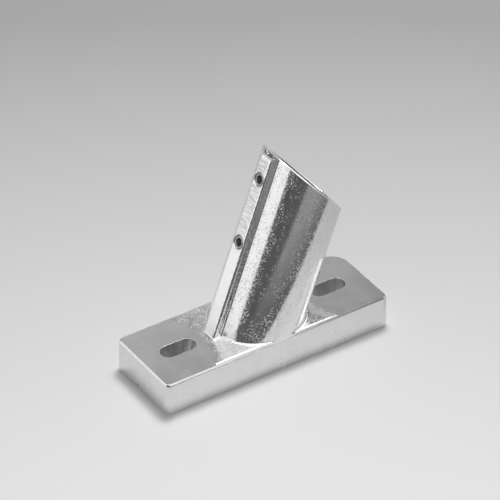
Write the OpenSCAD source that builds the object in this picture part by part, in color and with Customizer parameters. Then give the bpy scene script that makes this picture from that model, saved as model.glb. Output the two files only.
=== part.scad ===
// Angle flange: a cast plate with two bolt slots carries a leaning round socket.
// Two set screws stand in a pad along the socket's upper side.
// The origin is the middle of the plate's underside. +X is the way the socket leans, +Z is up.

/* [Plate] */
// Length of the plate at its foot
plate_length = 181; // [175:1:200]
// Width of the plate at its foot
plate_width = 63.5; // [63:0.5:70]
// Thickness of the plate at its machined ends
plate_thickness = 25; // [22:1:30]
// Slope of the plate's sides from upright, in degrees
draft_angle = 1.15; // [0.6:0.05:1.6]
// Radius of the rounding along the plate's top edges
top_edge_radius = 1.8; // [1:0.1:1.8]
// Radius of the plate's upright corners at the foot
corner_radius = 4.4; // [4.4:0.1:8]
// Radius of the one blunt corner, behind the end that the socket leans to
blunt_corner_radius = 16; // [8:1:20]
// Height of the rough middle of the plate above its machined ends
rough_rise = 0.6; // [0.3:0.1:0.7]
// Radius of the sweep that machined each end
facing_radius = 54; // [50:1:54]

/* [Bolt slots] */
// Width of each slot
slot_width = 12.6; // [9:0.1:14]
// Length of each slot from end to end
slot_length = 26.8; // [20:0.1:30]
// Distance between the middles of the two slots
slot_spacing = 122; // [118:0.5:130]

/* [Socket] */
// Nominal diameter that the bore takes
nominal_diameter = 48.3; // [42.4:0.1:48.6]
// Gap between the nominal diameter and the bore, on the radius
bore_clearance = 0.35; // [0.1:0.05:0.5]
// Outer diameter of the socket
socket_diameter = 63.2; // [60:0.1:63.4]
// Angle between the socket's axis and the plate, in degrees
socket_lean = 70; // [66:1:74]
// Where the socket's axis crosses the plate's top, along the plate
socket_foot_x = 2; // [0:0.5:6]
// Length of the socket along its axis, from the plate's top to the rim
socket_reach = 109; // [95:1:120]
// Slant of the rim, from square to the axis, in degrees
rim_slant = 30; // [22:1:34]
// Radius of the fillet where the socket meets the plate
foot_fillet = 3; // [2:0.1:3.2]

/* [Screw pad] */
// Width of the flat pad that holds the set screws
pad_width = 12.6; // [12:0.1:15]
// Height of the pad's face above the socket's surface
pad_rise = 5.4; // [4:0.1:7]
// Radius along the pad's two long edges
pad_edge_radius = 2; // [1:0.1:2.4]
// Radius along the pad's slanted top edge
pad_top_radius = 2.5; // [1:0.1:3]
// Radius of the hollow where the pad meets the socket
pad_root_radius = 1.6; // [1:0.1:2.5]

/* [Set screws] */
// Outer diameter of a set screw
screw_diameter = 9.5; // [8:0.1:10]
// Gap between a screw and its hole, on the radius
screw_gap = 0.05; // [0.02:0.01:0.1]
// Distance along the socket's axis from the middle of the rim down to the upper screw
upper_screw_drop = 1.5; // [0:0.5:4]
// Distance between the two screws
screw_spacing = 48; // [44:0.5:50]
// Depth of a screw's outer end below the pad's face
screw_sink = 0.6; // [0.2:0.1:1.5]
// Distance that a screw's point stays back from the bore
screw_setback = 0.3; // [0.2:0.05:1]
// Size across the flats of the hexagonal recess
hex_across = 4.8; // [4:0.1:5.5]
// Depth of the hexagonal recess
hex_depth = 5; // [3:0.1:6]

/* [Hidden] */
$fn = 96;

// Room by which a cutting or joining shape runs past what it cuts or joins
past = 1;
// Larger than the whole part
huge = 400;

casting_color = [0.80, 0.81, 0.82];
screw_color = [0.34, 0.35, 0.37];

socket_r = socket_diameter / 2;
bore_r = nominal_diameter / 2 + bore_clearance;
pad_face = socket_r + pad_rise;
pad_half = pad_width / 2;
rough_top = plate_thickness + rough_rise;

// Directions of the socket: along its axis, and across it on the side that it leans to
axis_way = [cos(socket_lean), 0, sin(socket_lean)];
under_way = [sin(socket_lean), 0, -cos(socket_lean)];
side_way = [0, 1, 0];
foot_point = [socket_foot_x, 0, plate_thickness];

// Plate's sides: the profile's rounding touches the sloping side and the top
draft_rate = tan(draft_angle);
edge_center_z = rough_top - top_edge_radius;
edge_center_in = edge_center_z * draft_rate + top_edge_radius / cos(draft_angle);
facing_center = plate_length / 2 + 4.5;
edge_steps = 8;

// How far the foot fillet and the pad's root are sunk, so that their ends cross both surfaces cleanly
fillet_sink = 0.08;
root_sink = 0.02;
fillet_arc_steps = 6;
ring_steps = 90;
pad_corner_steps = 4;
// Hidden root of the fillets: how far it reaches into the socket, and below the plate's top
root_inset = 0.4;
root_depth = top_edge_radius + 0.6;

// Set screws and their holes
upper_screw_reach = socket_reach - upper_screw_drop;
lower_screw_reach = upper_screw_reach - screw_spacing;
screw_hole_r = screw_diameter / 2 + screw_gap;
screw_top = pad_face - screw_sink;
screw_tip = bore_r + screw_setback;
screw_chamfer = 0.8;
hole_chamfer = 0.6;
cup_radius = 2.6;
cup_depth = 1.1;
hex_bottom_cone = 1.2;

// Half of the plate's section, from its middle out to the side whose foot is at `half`
module side_profile(half) {
    center = half - edge_center_in;
    rounding = [for (k = [0:edge_steps])
        let (angle = draft_angle + (90 - draft_angle) * k / edge_steps)
        [center + top_edge_radius * cos(angle), edge_center_z + top_edge_radius * sin(angle)]];
    polygon(concat([[0, 0], [half, 0]], rounding, [[0, rough_top]]));
}

// One upright corner of the plate, standing on its own centre
module corner_post(radius) {
    rotate_extrude() side_profile(radius);
}

// Both halves of the plate's section, drawn out along a stretch
module side_bar(half, stretch) {
    for (side = [0, 1])
        mirror([side, 0, 0])
            rotate([90, 0, 0])
                translate([0, 0, -stretch / 2]) linear_extrude(height = stretch) side_profile(half);
}

// The plate with four like corners
module even_plate() {
    corner_x = plate_length / 2 - corner_radius;
    corner_y = plate_width / 2 - corner_radius;
    side_bar(plate_length / 2, 2 * corner_y);
    rotate([0, 0, 90]) side_bar(plate_width / 2, 2 * corner_x);
    for (x = [-corner_x, corner_x])
        for (y = [-corner_y, corner_y])
            translate([x, y, 0]) corner_post(corner_radius);
}

// The plate as cast, with its blunt corner
module cast_plate() {
    blunt_x = plate_length / 2 - blunt_corner_radius;
    blunt_y = plate_width / 2 - blunt_corner_radius;
    difference() {
        even_plate();
        translate([blunt_x, blunt_y, -past]) cube([huge, huge, rough_top + 2 * past]);
    }
    translate([blunt_x, blunt_y, 0]) corner_post(blunt_corner_radius);
}

// The plate with its two machined ends
module faced_plate() {
    difference() {
        cast_plate();
        for (side = [-1, 1])
            translate([side * facing_center, 0, plate_thickness])
                cylinder(r = facing_radius, h = rough_rise + past);
    }
}

module bolt_slot() {
    run = slot_length - slot_width;
    translate([0, 0, -past]) {
        for (side = [-1, 1])
            translate([side * run / 2, 0, 0]) cylinder(d = slot_width, h = rough_top + 2 * past);
        translate([-run / 2, -slot_width / 2, 0]) cube([run, slot_width, rough_top + 2 * past]);
    }
}

// Everything inside stands on the socket's own axis, with the pad towards -X
module on_socket_axis() {
    translate(foot_point) rotate([0, 90 - socket_lean, 0]) children();
}

// Everything inside stands on a screw's axis, with the pad's outer side towards +Z
module on_screw_axis(reach) {
    on_socket_axis() translate([0, 0, reach]) rotate([0, -90, 0]) children();
}

// Hollow between the pad's wall and the round of the socket
module pad_root() {
    ball = pad_root_radius - root_sink;
    center_y = pad_half + ball;
    center_x = -sqrt(pow(socket_r + ball, 2) - pow(center_y, 2));
    on_round = socket_r / (socket_r + ball);
    difference() {
        polygon([
            [center_x, pad_half - past],
            [center_x, pad_half],
            [center_x, center_y],
            [center_x * on_round, center_y * on_round],
            [center_x * on_round + past, pad_half - past]
        ]);
        translate([center_x, center_y]) circle(r = pad_root_radius);
    }
}

// Section of the socket and its pad, square to the axis
module socket_section() {
    edge_x = pad_face - pad_edge_radius;
    edge_y = pad_half - pad_edge_radius;
    circle(r = socket_r, $fn = 180);
    translate([-edge_x, -pad_half]) square([edge_x, pad_width]);
    translate([-pad_face, -edge_y]) square([pad_face, 2 * edge_y]);
    for (y = [-edge_y, edge_y])
        translate([-edge_x, y]) circle(r = pad_edge_radius);
    for (side = [0, 1])
        mirror([0, side]) pad_root();
}

// The leaning socket, running down inside the plate and cut off by its slanted rim
module socket_body() {
    difference() {
        on_socket_axis()
            translate([0, 0, -plate_thickness * 2])
                linear_extrude(height = socket_reach * 2) socket_section();
        translate([-huge / 2, -huge / 2, -huge]) cube(huge);
        on_socket_axis()
            translate([0, 0, socket_reach])
                rotate([0, rim_slant, 0])
                    translate([-huge / 2, -huge / 2, 0]) cube(huge);
        on_socket_axis() pad_top_cut();
    }
}

// What the rounding takes off the sharp edge between the pad's face and the rim
module pad_top_cut() {
    center_x = pad_top_radius - pad_face;
    center_z = socket_reach - (pad_top_radius + center_x * sin(rim_slant)) / cos(rim_slant);
    arc = [for (k = [0:edge_steps])
        let (angle = 180 - (90 + rim_slant) * k / edge_steps)
        [center_x + pad_top_radius * cos(angle), center_z + pad_top_radius * sin(angle)]];
    beyond = -pad_face - past;
    rotate([90, 0, 0])
        linear_extrude(height = pad_width + 2 * past, center = true)
            polygon(concat(
                [[beyond, center_z]],
                arc,
                [arc[edge_steps] + past * [sin(rim_slant), cos(rim_slant)]],
                [[beyond, socket_reach + 2 * pad_face]]
            ));
}

// Direction across the socket's axis, at an angle from the side that it leans to
function around(angle) = under_way * cos(angle) + side_way * sin(angle);

// Direction a fraction of the way from one unit direction to another
function between(from, to, part) =
    let (
        whole = acos(from * to)
    )
    (from * sin((1 - part) * whole) + to * sin(part * whole)) / sin(whole);

// One section of the foot fillet. `edge` is the offset of the socket's surface from its axis
// and `way` the surface's outward direction.
// Its points run from the socket, along the hollow, and back under the plate's surface.
function fillet_section(edge, way) =
    let (
        ball = foot_fillet - fillet_sink,
        offset_point = foot_point + edge + way * ball,
        center = offset_point + axis_way * (rough_top + ball - offset_point[2]) / axis_way[2],
        down = [0, 0, -1],
        hollow = [for (k = [0:fillet_arc_steps])
            center + foot_fillet * between(-way, down, k / fillet_arc_steps)],
        inner = hollow[0] - way * root_inset,
        inner_foot = inner + axis_way * (rough_top - root_depth - inner[2]) / axis_way[2],
        outer_foot = hollow[fillet_arc_steps] + down * root_depth
    )
    concat([inner], hollow, [outer_foot, inner_foot]);

// A solid through a row of sections with the same number of points
module section_strip(sections, closed) {
    count = len(sections);
    size = len(sections[0]);
    spans = closed ? count : count - 1;
    points = [for (section = sections) for (point = section) point];
    walls = [for (i = [0:spans - 1]) for (j = [0:size - 1])
        let (next = (i + 1) % count * size)
        [i * size + j, next + j, next + (j + 1) % size, i * size + (j + 1) % size]];
    first_cap = [for (j = [0:size - 1]) j];
    last_cap = [for (j = [size - 1:-1:0]) (count - 1) * size + j];
    polyhedron(points, closed ? walls : concat(walls, [first_cap, last_cap]));
}

// Fillet around the round of the socket
module round_fillet() {
    section_strip([for (i = [0:ring_steps - 1])
        let (way = around(360 * i / ring_steps))
        fillet_section(way * socket_r, way)], true);
}

// Fillet around the pad's wall, edge, face, edge and wall
module pad_fillet() {
    face = pad_face - pad_edge_radius;
    half = pad_half - pad_edge_radius;
    deep = bore_r + past;
    far = [for (x = [-deep, -face])
        fillet_section(under_way * x + side_way * pad_half, side_way)];
    far_round = [for (k = [1:pad_corner_steps])
        let (way = around(90 + 90 * k / pad_corner_steps))
        fillet_section(side_way * half - under_way * face + way * pad_edge_radius, way)];
    near_round = [for (k = [0:pad_corner_steps - 1])
        let (way = around(180 + 90 * k / pad_corner_steps))
        fillet_section(-side_way * half - under_way * face + way * pad_edge_radius, way)];
    near = [for (x = [-face, -deep])
        fillet_section(under_way * x - side_way * pad_half, -side_way)];
    section_strip(concat(far, far_round, near_round, near), false);
}

// The fillets, kept within the plate's top
module foot_fillets() {
    top_half = plate_width / 2 - rough_top * draft_rate;
    intersection() {
        union() {
            round_fillet();
            pad_fillet();
        }
        translate([-huge / 2, -top_half, 0]) cube([huge, 2 * top_half, huge]);
    }
}

// Hole for a set screw, from the pad's face into the bore
module screw_hole(reach) {
    on_screw_axis(reach) {
        cylinder(r = screw_hole_r, h = pad_face + past);
        translate([0, 0, pad_face - hole_chamfer])
            cylinder(
                r1 = screw_hole_r,
                r2 = screw_hole_r + hole_chamfer + past,
                h = hole_chamfer + past
            );
    }
}

module socket_bore() {
    on_socket_axis()
        translate([0, 0, -huge / 2]) cylinder(r = bore_r, h = huge, $fn = 180);
}

// Cup-point set screw with a hexagonal recess
module set_screw(reach) {
    body_r = screw_diameter / 2;
    color(screw_color)
        on_screw_axis(reach)
            difference() {
                union() {
                    translate([0, 0, screw_tip])
                        cylinder(r1 = body_r - screw_chamfer, r2 = body_r, h = screw_chamfer);
                    translate([0, 0, screw_tip + screw_chamfer])
                        cylinder(r = body_r, h = screw_top - screw_tip - 2 * screw_chamfer);
                    translate([0, 0, screw_top - screw_chamfer])
                        cylinder(r1 = body_r, r2 = body_r - screw_chamfer, h = screw_chamfer);
                }
                translate([0, 0, screw_top - hex_depth])
                    cylinder(d = hex_across / cos(30), h = hex_depth + past, $fn = 6);
                translate([0, 0, screw_top - hex_depth - hex_bottom_cone])
                    cylinder(r1 = 0, r2 = hex_across / 2, h = hex_bottom_cone);
                translate([0, 0, screw_tip - past])
                    cylinder(
                        r1 = cup_radius * (cup_depth + past) / cup_depth,
                        r2 = 0,
                        h = cup_depth + past
                    );
            }
}

// The one casting: plate, socket and pad, with every hole in it
module flange_casting() {
    color(casting_color)
        difference() {
            union() {
                faced_plate();
                socket_body();
                foot_fillets();
            }
            socket_bore();
            for (reach = [lower_screw_reach, upper_screw_reach])
                screw_hole(reach);
            for (side = [-1, 1])
                translate([side * slot_spacing / 2, 0, 0]) bolt_slot();
        }
}

module set_screw_lower() {
    set_screw(lower_screw_reach);
}

module set_screw_upper() {
    set_screw(upper_screw_reach);
}

flange_casting();
set_screw_lower();
set_screw_upper();
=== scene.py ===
"""Angle flange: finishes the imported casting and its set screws, and stands them in a plain studio.

Sizes are in millimetres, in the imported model's own frame: the origin is the middle of the plate's
underside, +X is the way the socket leans and +Z is up. A piece is scaled to metres when its mesh is made.
The studio's own sizes are in metres.
"""

from __future__ import annotations

import logging
import math
from dataclasses import dataclass
from enum import Enum

import bmesh
import bpy
import numpy as np
from mathutils import Matrix, Vector
from mathutils.geometry import tessellate_polygon


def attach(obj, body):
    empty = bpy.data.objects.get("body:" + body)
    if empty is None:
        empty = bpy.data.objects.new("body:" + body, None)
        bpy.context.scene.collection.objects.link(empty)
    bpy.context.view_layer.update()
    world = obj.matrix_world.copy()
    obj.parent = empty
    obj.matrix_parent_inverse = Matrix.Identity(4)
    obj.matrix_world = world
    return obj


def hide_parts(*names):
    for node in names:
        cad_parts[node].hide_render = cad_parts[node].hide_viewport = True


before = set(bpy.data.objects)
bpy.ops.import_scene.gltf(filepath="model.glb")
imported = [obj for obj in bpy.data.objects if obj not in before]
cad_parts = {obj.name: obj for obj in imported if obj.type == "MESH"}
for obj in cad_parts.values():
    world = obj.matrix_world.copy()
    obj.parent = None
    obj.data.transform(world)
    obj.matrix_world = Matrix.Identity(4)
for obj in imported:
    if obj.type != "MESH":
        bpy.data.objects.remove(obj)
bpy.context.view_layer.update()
LOG = logging.getLogger("angle_flange")
MM = 0.001
WORLD_UP = np.array([0.0, 0.0, 1.0])
ACROSS = np.array([0.0, 1.0, 0.0])
# Points nearer than the one become one point, and edges shorter than the other are taken out.
MERGE_GAP, THIN_EDGE = 0.002, 0.0005
# The weight at which a corner's normal follows its largest faces.
BY_AREA = 100
# The two ends of a straight run, as shares of its length.
BOTH_ENDS = np.array([0.0, 1.0])
# Where most of a noise's values lie, and nearly all of them.
NOISE_CORE, NOISE_REACH = (0.3, 0.7), (0.25, 0.75)
Material, Object = bpy.types.Material, bpy.types.Object
Value = float | bpy.types.NodeSocket
Triple = tuple[float, float, float]
Pair = tuple[float, float]
Look = tuple[Value, Value, Value]


class Zone(Enum):
    """How one part of the casting's surface was made. The value is its place among the materials."""

    CAST = 0
    MILLED_END = 1
    MILLED_PAD = 2
    GROUND_EDGE = 3
    BORED = 4
    CORED = 5
    UNDERSIDE = 6
    PLATE_SIDE = 7
    ROUGH_TOP = 8


@dataclass(frozen=True)
class PlateForm:
    """Sizes of the plate."""

    length: float = 181.0
    width: float = 63.5
    thickness: float = 25.0
    rough_rise: float = 0.6
    draft: float = math.tan(math.radians(1.15))
    top_round: float = 2.7
    foot_round: float = 0.5
    corner: float = 4.4
    blunt_corner: float = 16.0
    facing_radius: float = 54.0
    facing_centre: float = 95.0
    lip_round: float = 0.25
    lip_fade: float = 9.0
    lip_fade_from: float = -2.0
    lip_fade_span: float = 10.0
    notch_place: float = 4.8
    notch_width: float = 2.2
    notch_height: float = 4.0
    notch_depth: float = 0.9
    notch_taper: float = 0.6
    slot_spacing: float = 122.0
    slot_length: float = 26.8
    slot_width: float = 12.6
    slot_round: float = 0.2

    @property
    def rough_top(self) -> float:
        """Height of the plate's rough middle."""
        return self.thickness + self.rough_rise

    @property
    def top_half_width(self) -> float:
        """Half of the plate's width where its sloping sides would meet its top."""
        return self.width / 2 - self.rough_top * self.draft


@dataclass(frozen=True)
class SocketForm:
    """Sizes of the leaning socket, its pad and its screws. Reaches are along the socket's axis."""

    foot_x: float = 2.0
    lean: float = math.radians(70.0)
    reach: float = 109.0
    radius: float = 31.6
    bore: float = 24.5
    rim_slant: float = math.radians(30.0)
    rim_round: float = 0.9
    mouth_round: float = 0.5
    foot_fillet: float = 2.2
    pad_fillet: float = 1.4
    pad_width: float = 12.6
    pad_face: float = 37.0
    pad_edge: float = 2.0
    pad_top_round: float = 4.6
    pad_root: float = 1.6
    seat_radius: float = 28.0
    screw_radius: float = 4.75
    screw_hole: float = 4.8
    hole_break: float = 0.6
    upper_screw_drop: float = 1.5
    screw_spacing: float = 48.0

    @property
    def axis(self) -> np.ndarray:
        """Unit direction of the socket's axis, upwards."""
        return np.array([math.cos(self.lean), 0.0, math.sin(self.lean)])

    @property
    def under(self) -> np.ndarray:
        """Unit direction square to the axis, on the side that the socket leans to."""
        return np.array([math.sin(self.lean), 0.0, -math.cos(self.lean)])

    @property
    def rim_normal(self) -> np.ndarray:
        """Unit direction square to the rim."""
        return self.axis * math.cos(self.rim_slant) + self.under * math.sin(self.rim_slant)

    @property
    def screw_reaches(self) -> Pair:
        """Reach of the lower and of the upper screw."""
        upper = self.reach - self.upper_screw_drop
        return upper - self.screw_spacing, upper


PLATE = PlateForm()
SOCKET = SocketForm()
FOOT = np.array([SOCKET.foot_x, 0.0, PLATE.thickness])
# The turn about Y that stands the socket upright.
TO_UPRIGHT = SOCKET.lean - math.pi / 2


@dataclass(frozen=True)
class Grain:
    """A noise and the bumps that it makes. Its size is in millimetres, after a turn about Y and a stretch.

    `detail` counts its finer layers and `rough` is their strength. `depth` is in millimetres, and `share`
    is how much of it is used.
    """

    size: float
    detail: float = 2.0
    rough: float = 0.5
    depth: float = 0.0
    share: float = 1.0
    stretch: Triple = (1.0, 1.0, 1.0)
    turn: float = 0.0


class Shader:
    """A short way to write nodes: each call adds one node and wires it up."""

    def __init__(self, block: bpy.types.ID, kind: str = "OutputMaterial") -> None:
        """Empties the block's node tree and adds its output.

        Args:
            block: a new material or world.
            kind: the output node's Blender type, without its ShaderNode prefix.
        """
        block.use_nodes = True
        self.block, self.nodes, self.links = block, block.node_tree.nodes, block.node_tree.links
        self.nodes.clear()
        self.output = self.add(kind)

    def add(self, kind: str, inputs: dict | None = None, **settings: object) -> bpy.types.Node:
        """Adds a node.

        Args:
            kind: the node's Blender type, without its ShaderNode prefix.
            inputs: socket name or number to a value, or to the socket that feeds it.
            **settings: the node's own properties.

        Returns:
            The new node.
        """
        node = self.nodes.new("ShaderNode" + kind)
        for key, value in settings.items():
            setattr(node, key, value)
        for key, value in (inputs or {}).items():
            if isinstance(value, bpy.types.NodeSocket):
                self.links.new(value, node.inputs[key])
            else:
                node.inputs[key].default_value = value
        return node

    def finish(self, kind: str, inputs: dict) -> bpy.types.ID:
        """Ends the nodes with a surface shader, and gives back the material or world."""
        self.links.new(self.add(kind, inputs).outputs[0], self.output.inputs[0])
        return self.block

    def place(self, stretch: Triple = (1.0, 1.0, 1.0), turn: float = 0.0) -> Value:
        """Object coordinates in millimetres, turned about Y and then stretched.

        Args:
            stretch: factor along each axis after the turn.
            turn: angle about Y in radians.

        Returns:
            The coordinates' socket.
        """
        where = self.add("TexCoord").outputs["Object"]
        flat = self.add("Mapping", {"Vector": where, "Rotation": (0, turn, 0)}).outputs[0]
        return self.add("Mapping", {"Vector": flat, "Scale": [k / MM for k in stretch]}).outputs[0]

    def noise(self, grain: Grain) -> Value:
        """A noise from 0 to 1."""
        where = self.place(grain.stretch, grain.turn)
        inputs = {"Vector": where, "Scale": 1.0 / grain.size, "Detail": grain.detail}
        return self.add("TexNoise", {**inputs, "Roughness": grain.rough}).outputs[0]

    def remap(
        self, value: Value, low: float, high: float, to_low: float = 0.0, to_high: float = 1.0
    ) -> Value:
        """Maps low..high to to_low..to_high, held at both ends."""
        inputs = {0: value, 1: low, 2: high, 3: to_low, 4: to_high}
        return self.add("MapRange", inputs, clamp=True).outputs[0]

    def drift(self, value: Value, reach: Pair, middle: float, ends: Pair) -> Value:
        """Maps the reach of a noise to a middle value plus its two ends."""
        return self.remap(value, *reach, middle + ends[0], middle + ends[1])

    def math(self, operation: str, first: Value, second: Value = 0.0) -> Value:
        """One arithmetic step on two values."""
        return self.add("Math", {0: first, 1: second}, operation=operation).outputs[0]

    def along(self, way: Triple, space: str = "Object") -> Value:
        """How far the point lies along a direction, in metres."""
        where = self.add("TexCoord").outputs[space]
        return self.add("VectorMath", {0: where, 1: way}, operation="DOT_PRODUCT").outputs["Value"]

    def grey(self, tone: Value, blue: Value) -> Value:
        """A colour of one tone, whose blue may differ."""
        return self.add("CombineColor", {0: tone, 1: tone, 2: blue}).outputs[0]

    def relief(self, *layers: tuple[Value, Grain]) -> Value:
        """Stacks bumps, each on the one before.

        Args:
            *layers: a height from 0 to 1 and the grain that gives its depth. A depth of 0 adds no bump.

        Returns:
            The normal's socket.
        """
        below = {}
        for height, grain in layers:
            if grain.depth:
                inputs = {"Height": height, "Distance": grain.depth * MM, "Strength": grain.share, **below}
                below = {"Normal": self.add("Bump", inputs).outputs[0]}
        return below["Normal"]


@dataclass(frozen=True, kw_only=True)
class Finish:
    """A bare metal with bumps from its grains. Noises of two of them drift its tone and its roughness."""

    tone: float
    roughness: float
    grains: tuple[Grain, ...] = ()
    toned_by: int = 0
    dulled_by: int | None = 0
    tone_reach: Pair = NOISE_REACH
    tone_drift: Pair = (-0.02, 0.02)
    roughness_drift: Pair = (-0.03, 0.05)
    blue: float = 1.0

    def surface(self, shader: Shader) -> Look:
        """Works out what the metal looks like.

        Args:
            shader: the material's nodes.

        Returns:
            The tone, the roughness and the normal.
        """
        noises = [shader.noise(grain) for grain in self.grains]
        tone = shader.drift(noises[self.toned_by], self.tone_reach, self.tone, self.tone_drift)
        roughness = self.roughness
        if self.dulled_by is not None:
            roughness = self.dulled(shader, noises[self.dulled_by])
        return tone, roughness, shader.relief(*zip(noises, self.grains))

    def dulled(self, shader: Shader, noise: Value) -> Value:
        """The roughness, which drifts with a noise."""
        return shader.drift(noise, NOISE_CORE, self.roughness, self.roughness_drift)

    def material(self, name: str) -> Material:
        """Builds the finish.

        Args:
            name: the material's name.

        Returns:
            The material.
        """
        shader = Shader(bpy.data.materials.new(name))
        tone, roughness, normal = self.surface(shader)
        blue = tone if self.blue == 1.0 else shader.math("MULTIPLY", tone, self.blue)
        inputs = {"Base Color": shader.grey(tone, blue), "Metallic": 1.0, "Roughness": roughness}
        return shader.finish("BsdfPrincipled", {**inputs, "Normal": normal})


@dataclass(frozen=True, kw_only=True)
class CastSkin(Finish):
    """Bright tumbled skin of the casting: fine orange peel, faint waves, and streaks of raised flecks."""

    tone: float = 0.84
    roughness: float = 0.10
    tone_drift: Pair = (-0.05, 0.03)
    roughness_drift: Pair = (-0.03, 0.06)
    blue: float = 1.006
    wave: Grain = Grain(9.0, 1.0, depth=0.04)
    peel: Grain = Grain(1.6, 2.0, 0.6, 0.022)
    fleck: Grain = Grain(1.1, 2.0, 0.6, 0.08)
    fleck_reach: Pair = (0.55, 0.70)
    fleck_dulls: float = 0.35
    fleck_darkens: float = 0.0
    streak: Grain = Grain(4.0, 1.0, stretch=(1.0, 1.0, 0.3), turn=TO_UPRIGHT)
    streak_reach: Pair = (0.32, 0.54)
    blotch: Grain = Grain(4.0, 3.0, 0.6)

    def surface(self, shader: Shader) -> Look:
        """The flecks are the peaks of one noise, kept where the stretched noise of the streaks is high.

        Args:
            shader: the material's nodes.

        Returns:
            The tone, the roughness and the normal.
        """
        streaks = shader.remap(shader.noise(self.streak), *self.streak_reach)
        fleck = shader.math("MULTIPLY", shader.remap(shader.noise(self.fleck), *self.fleck_reach), streaks)
        blotch = shader.noise(self.blotch)
        layers = [(shader.noise(grain), grain) for grain in (self.wave, self.peel)]
        roughness = self.dulled(shader, blotch)
        roughness = shader.math("ADD", roughness, shader.math("MULTIPLY", fleck, self.fleck_dulls))
        tone = shader.drift(blotch, self.tone_reach, self.tone, self.tone_drift)
        tone = shader.math("SUBTRACT", tone, shader.math("MULTIPLY", fleck, self.fleck_darkens))
        return tone, roughness, shader.relief(*layers, (fleck, self.fleck))


@dataclass(frozen=True, kw_only=True)
class PlateSide(Finish):
    """Smooth satin side of the plate, with faint upright streaks where it was drawn from its mould."""

    tone: float = 0.77
    roughness: float = 0.24
    grains: tuple[Grain, ...] = (
        Grain(16.0, 1.0, depth=0.12),
        Grain(4.5, depth=0.012, stretch=(1.0, 1.0, 0.2)),
        Grain(0.9, 2.0, 0.6, 0.008),
    )
    toned_by: int = 1


@dataclass(frozen=True, kw_only=True)
class MilledFlat(Finish):
    """Machined face with fine tool marks, a noise that is drawn out along one direction."""

    dulled_by: int = 1
    tone_reach: Pair = NOISE_CORE
    tone_drift: Pair = (-0.03, 0.03)
    roughness_drift: Pair = (-0.04, 0.05)

    @classmethod
    def drawn(cls, stretch: Triple, turn: float = 0.0, depth: float = 0.01, **looks: object) -> MilledFlat:
        """The finish whose marks have a stretch, a turn about Y and a depth."""
        marks = Grain(0.7, depth=depth, share=0.6, stretch=stretch, turn=turn)
        return cls(grains=(marks, Grain(14.0)), **looks)


@dataclass(frozen=True, kw_only=True)
class FacedEnd(Finish):
    """Machined end of the plate, with the faint arcs that its cutter left round the circle's middle."""

    centre: float = PLATE.facing_centre
    tone: float = 0.65
    roughness: float = 0.27
    roughness_drift: Pair = (-0.01, 0.02)
    cloud: Grain = Grain(16.0, depth=0.01)
    arcs: Grain = Grain(1 / 1.1, depth=0.006, share=0.7)
    grain: Grain = Grain(0.8, 1.0, depth=0.004)

    def surface(self, shader: Shader) -> Look:
        """The arcs are a noise of the distance from the circle's middle, sqrt((|x| - c)^2 + y^2).

        Args:
            shader: the material's nodes.

        Returns:
            The tone, the roughness and the normal.
        """
        x, y, _ = shader.add("SeparateXYZ", {0: shader.place()}).outputs
        beside = shader.math("SUBTRACT", shader.math("ABSOLUTE", x), self.centre)
        squares = [shader.math("MULTIPLY", part, part) for part in (beside, y)]
        radius = shader.math("SQRT", shader.math("ADD", *squares))
        inputs = {"W": radius, "Scale": 1 / self.arcs.size, "Detail": self.arcs.detail}
        arcs = shader.add("TexNoise", inputs, noise_dimensions="1D").outputs[0]
        cloud, grain = shader.noise(self.cloud), shader.noise(self.grain)
        tone = shader.drift(arcs, self.tone_reach, self.tone, self.tone_drift)
        normal = shader.relief((cloud, self.cloud), (arcs, self.arcs), (grain, self.grain))
        return tone, self.dulled(shader, cloud), normal


@dataclass(frozen=True, kw_only=True)
class MilledPad(Finish):
    """The pad's machined face: the cutter chattered across its upper part and ran smoothly below."""

    tone: float = 0.86
    roughness: float = 0.22
    chatter_span: Pair = (74.0, 92.0)
    chatter: Grain = Grain(0.9, 2.0, 0.6, 0.05, stretch=(1.0, 0.15, 1.0), turn=TO_UPRIGHT)
    chatter_reach: Pair = (0.35, 0.65)
    chatter_darkens: float = 0.34
    line: Grain = Grain(0.6, 1.0, depth=0.006, share=0.7, stretch=(1.0, 0.03, 1.0), turn=TO_UPRIGHT)
    cloud: Grain = Grain(6.0)

    def surface(self, shader: Shader) -> Look:
        """The chatter marks fade in over a span of the pad's length, by a share from 0 to 1.

        Args:
            shader: the material's nodes.

        Returns:
            The tone, the roughness and the normal.
        """
        height = shader.add("SeparateXYZ", {0: shader.place(turn=TO_UPRIGHT)}).outputs[2]
        share = shader.remap(height, *self.chatter_span)
        marks = shader.remap(shader.noise(self.chatter), *self.chatter_reach)
        marks = shader.math("MULTIPLY", marks, share)
        tone = shader.math("SUBTRACT", self.tone, shader.math("MULTIPLY", marks, self.chatter_darkens))
        normal = shader.relief((marks, self.chatter), (shader.noise(self.line), self.line))
        return tone, self.dulled(shader, shader.noise(self.cloud)), normal


@dataclass(frozen=True, kw_only=True)
class ScrewSteel(Finish):
    """Dark satin steel of the set screws, with one fine noise for both its tone and its bumps."""

    tone: float = 0.34
    roughness: float = 0.26
    grains: tuple[Grain, ...] = (Grain(0.4, depth=0.01, share=0.4),)
    dulled_by: int | None = None
    tone_reach: Pair = NOISE_CORE
    tone_drift: Pair = (-0.03, 0.03)
    blue: float = 1.06


@dataclass
class Patch:
    """Part of a surface: its points, its faces and how it was made."""

    points: np.ndarray
    faces: list
    zones: np.ndarray


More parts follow.
